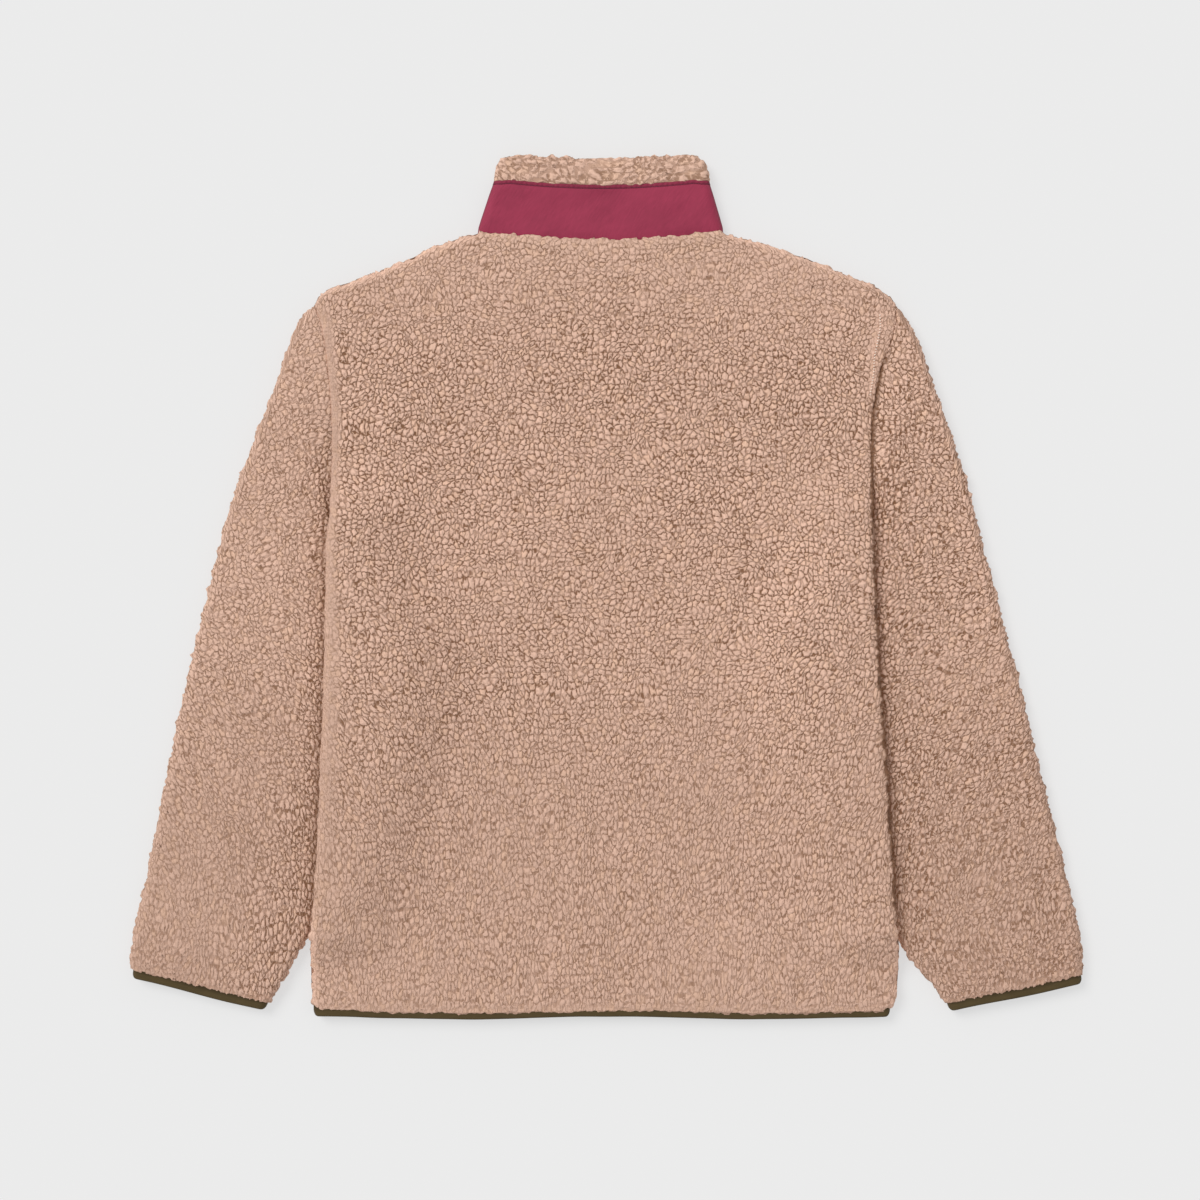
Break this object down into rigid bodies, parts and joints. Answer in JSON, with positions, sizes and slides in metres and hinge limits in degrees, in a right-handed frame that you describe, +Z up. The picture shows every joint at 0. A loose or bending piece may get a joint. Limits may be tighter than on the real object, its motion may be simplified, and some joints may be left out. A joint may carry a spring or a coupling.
{
  "type": "sherpa jacket",
  "caption": "Boxy sherpa pile jacket laid flat with its back up, with a stand collar, a woven collar band, bound hem and cuffs, and a zip front underneath.",
  "frame": {"origin": "middle of the jacket's box at its underside, on the surface it lies on", "axes": "+Y from the hem to the collar, +Z up out of the back, +X to the right as the back is seen from above"},
  "size_m": [0.8786, 0.7987, 0.0332],
  "materials": {
    "pile_cloth": "curly sherpa pile, matt",
    "band_cloth": "plain woven, slight sheen",
    "binding_cloth": "woven binding, matt",
    "tape_cloth": "woven tape, matt",
    "chain_plastic": "satin",
    "zip_metal": "aged, satin"
  },
  "bodies": {
    "jacket": {"back": "pile_cloth", "front_left": "pile_cloth", "front_right": "pile_cloth", "sleeve_left": "pile_cloth", "sleeve_right": "pile_cloth", "collar_pile": "pile_cloth", "collar_band": "band_cloth", "hem_binding": "binding_cloth", "cuff_binding_left": "binding_cloth", "cuff_binding_right": "binding_cloth", "zip_tape_left": "tape_cloth", "zip_tape_right": "tape_cloth", "zip_chain": "chain_plastic", "zip_slider": "zip_metal"},
    "pull_tab": {"zip_pull": "zip_metal"}
  },
  "joints": [
    {"name": "pull_tab_hinge", "type": "hinge", "parent": "jacket", "child": "pull_tab", "pos_m": [-0.0055, 0.33, 0.002], "axis": [1, 0, 0], "range_deg": [0, 170]}
  ]
}
